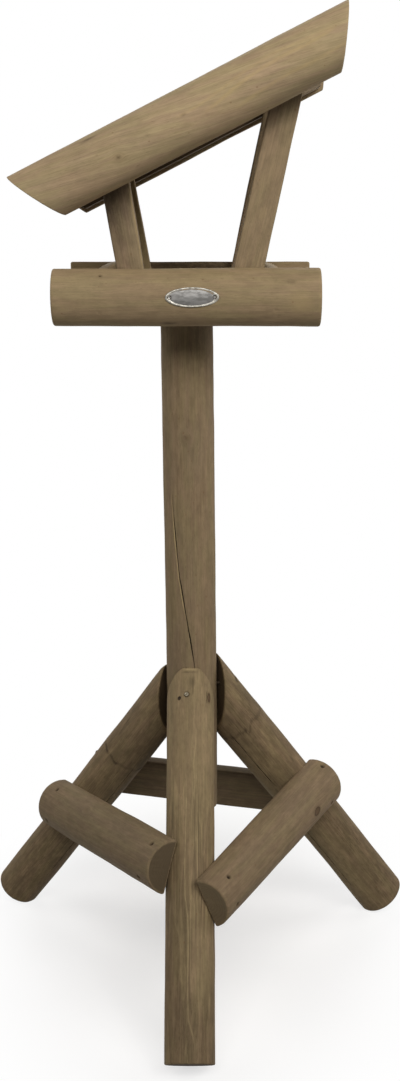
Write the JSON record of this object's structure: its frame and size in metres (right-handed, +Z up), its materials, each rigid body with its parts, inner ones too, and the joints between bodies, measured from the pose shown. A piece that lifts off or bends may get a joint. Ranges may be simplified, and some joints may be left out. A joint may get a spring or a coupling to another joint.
{
  "type": "bird table",
  "caption": "Rustic wooden bird table: a tray of half-round logs on a round post with splayed, braced legs, under a sloping board roof edged with mitred half-round logs.",
  "frame": {"origin": "middle of the bounding box's base, on the ground", "axes": "+Z up, +X to the right seen from the front, +Y towards the back; the front leg points along -Y"},
  "size_m": [0.5648, 0.483, 1.1767],
  "materials": {
    "pole_wood": "impregnated softwood poles, smooth turned, dull grey-brown",
    "sawn_wood": "impregnated sawn softwood, dull grey-brown",
    "nail_steel": "galvanised, dulled",
    "plate_aluminium": "satin with a raised bright rim, bare"
  },
  "bodies": {
    "root": {"post": "pole_wood", "leg_front": "pole_wood", "leg_right": "pole_wood", "leg_left": "pole_wood", "brace_left": "pole_wood", "brace_right": "pole_wood", "brace_back": "pole_wood", "tray_rail_front": "pole_wood", "tray_rail_back": "pole_wood", "tray_rail_left": "pole_wood", "tray_rail_right": "pole_wood", "roof_log_front": "pole_wood", "roof_log_back": "pole_wood", "tray_bearer_left": "sawn_wood", "tray_bearer_right": "sawn_wood", "tray_board_front": "sawn_wood", "tray_board_middle": "sawn_wood", "tray_board_back": "sawn_wood", "roof_rafter_front": "sawn_wood", "roof_rafter_back": "sawn_wood", "roof_board_1": "sawn_wood", "roof_board_2": "sawn_wood", "roof_board_3": "sawn_wood", "roof_board_4": "sawn_wood", "roof_board_5": "sawn_wood", "roof_support_front_left": "sawn_wood", "roof_support_front_right": "sawn_wood", "roof_support_back_left": "sawn_wood", "roof_support_back_right": "sawn_wood", "leg_nails": "nail_steel", "brace_nails": "nail_steel", "tray_rail_nails": "nail_steel", "tray_board_nails": "nail_steel", "roof_support_nails": "nail_steel", "roof_log_nails": "nail_steel", "roof_board_nails": "nail_steel", "post_screws": "nail_steel", "bearer_screws": "nail_steel", "plate_pins": "nail_steel", "oval_plate": "plate_aluminium"}
  },
  "joints": []
}
